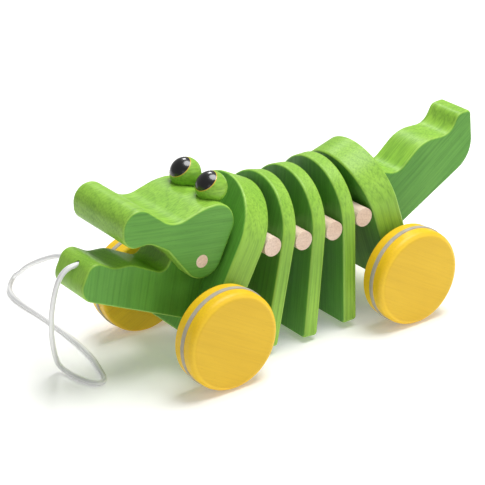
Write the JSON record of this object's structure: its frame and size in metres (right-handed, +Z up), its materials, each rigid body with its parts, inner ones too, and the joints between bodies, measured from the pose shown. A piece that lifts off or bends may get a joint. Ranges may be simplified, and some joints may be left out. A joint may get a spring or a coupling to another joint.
{
  "type": "pull-along crocodile toy",
  "caption": "Wooden pull-along crocodile on wheels with rubber tread rings: hinged body plates, a tilting upper jaw and a pull cord looped through the nose.",
  "frame": {"origin": "on the floor, under the middle of the bounding box of the toy without its cord", "axes": "+X runs from the snout to the tail, -Y is the near side with the two wheels seen first, +Z is up"},
  "size_m": [0.3777, 0.2543, 0.1507],
  "materials": {
    "green_wood": "satin green stain with the grain showing",
    "natural_wood": "plain sanded beech",
    "yellow_wood": "satin yellow stain",
    "grey_rubber": "matt grey rubber",
    "white_cord": "braided white cotton cord"
  },
  "bodies": {
    "front_unit": {"front_block": "green_wood", "lower_jaw": "green_wood", "jaw_glue_dowels": "natural_wood", "front_tongue": "green_wood", "pull_cord": "white_cord"},
    "head_unit": {"head": "green_wood", "jaw_pin": "natural_wood", "eye_near": "green_wood", "eye_far": "green_wood", "eye_peg_near": "natural_wood", "eye_peg_far": "natural_wood"},
    "rib_a_unit": {"rib_a": "green_wood", "rib_link_a": "green_wood", "hinge_dowel_1": "natural_wood"},
    "rib_b_unit": {"rib_b": "green_wood", "rib_link_b": "green_wood", "hinge_dowel_2": "natural_wood"},
    "rib_c_unit": {"rib_c": "green_wood", "rib_link_c": "green_wood", "hinge_dowel_3": "natural_wood"},
    "rear_unit": {"rear_block": "green_wood", "rear_fork": "green_wood", "hinge_dowel_4": "natural_wood", "tail": "green_wood", "tail_glue_dowels": "natural_wood"},
    "front_wheels": {"front_axle": "natural_wood", "wheel_front_near": "yellow_wood", "tread_ring_front_near": "grey_rubber", "axle_spacer_front_near": "natural_wood", "wheel_front_far": "yellow_wood", "tread_ring_front_far": "grey_rubber", "axle_spacer_front_far": "natural_wood"},
    "rear_wheels": {"rear_axle": "natural_wood", "wheel_rear_near": "yellow_wood", "tread_ring_rear_near": "grey_rubber", "axle_spacer_rear_near": "natural_wood", "wheel_rear_far": "yellow_wood", "tread_ring_rear_far": "grey_rubber", "axle_spacer_rear_far": "natural_wood"}
  },
  "joints": [
    {"name": "head_tilt", "type": "hinge", "parent": "front_unit", "child": "head_unit", "pos_m": [-0.09108, 0, 0.09174], "axis": [0, 1, 0], "range_deg": [0, 7]},
    {"name": "body_hinge_1", "type": "hinge", "parent": "front_unit", "child": "rib_a_unit", "pos_m": [-0.03308, 0, 0.08938], "axis": [0, 1, 0], "range_deg": [0, 26]},
    {"name": "body_hinge_2", "type": "hinge", "parent": "rib_a_unit", "child": "rib_b_unit", "pos_m": [-0.00456, 0, 0.08633], "axis": [0, 1, 0], "range_deg": [0, 16]},
    {"name": "body_hinge_3", "type": "hinge", "parent": "rib_b_unit", "child": "rib_c_unit", "pos_m": [0.02412, 0, 0.08634], "axis": [0, 1, 0], "range_deg": [0, 16.5]},
    {"name": "body_hinge_4", "type": "hinge", "parent": "rib_c_unit", "child": "rear_unit", "pos_m": [0.05259, 0, 0.08974], "axis": [0, 1, 0], "range_deg": [0, 26]},
    {"name": "front_axle_spin", "type": "hinge", "parent": "front_unit", "child": "front_wheels", "pos_m": [-0.0888, 0, 0.0392], "axis": [0, 1, 0], "continuous": true},
    {"name": "rear_axle_spin", "type": "hinge", "parent": "rear_unit", "child": "rear_wheels", "pos_m": [0.0842, 0, 0.0392], "axis": [0, 1, 0], "continuous": true}
  ]
}
